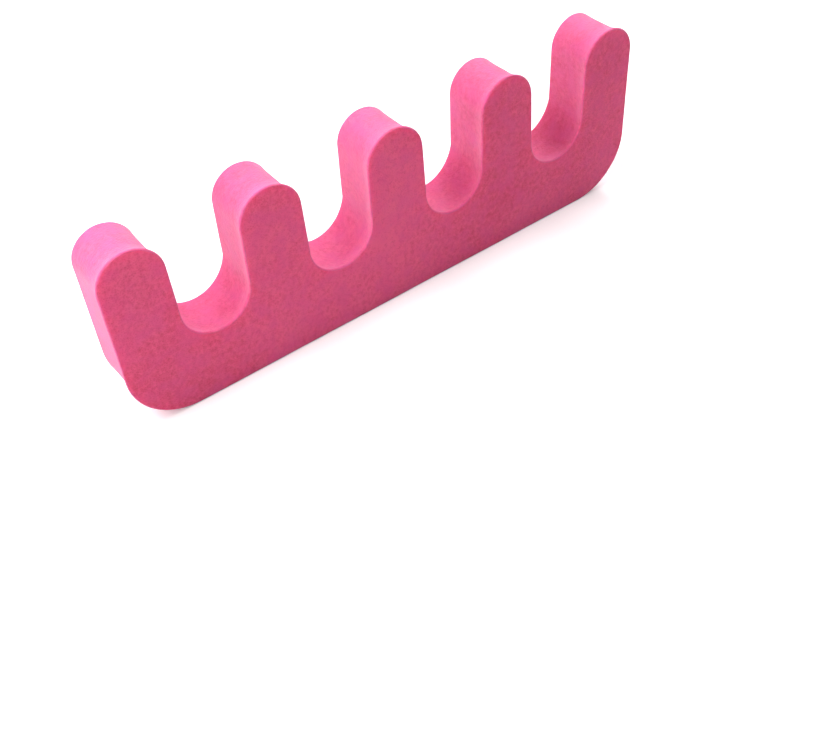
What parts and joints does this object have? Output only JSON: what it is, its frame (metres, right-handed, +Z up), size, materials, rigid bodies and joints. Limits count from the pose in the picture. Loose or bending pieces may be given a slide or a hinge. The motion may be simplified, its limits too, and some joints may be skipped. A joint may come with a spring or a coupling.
{
  "type": "toe separator",
  "caption": "Soft foam comb with round-tipped fingers and round-floored gaps that holds the toes of one foot apart during a pedicure.",
  "frame": {"origin": "middle of the back edge, where the comb stands", "axes": "+X along the comb, +Y through the foam sheet towards the rear face, +Z up the fingers"},
  "size_m": [0.0892, 0.0082, 0.0285],
  "materials": {
    "foam": "matt closed-cell foam with a fine grain"
  },
  "bodies": {
    "root": {"foam_comb": "foam"}
  },
  "joints": []
}
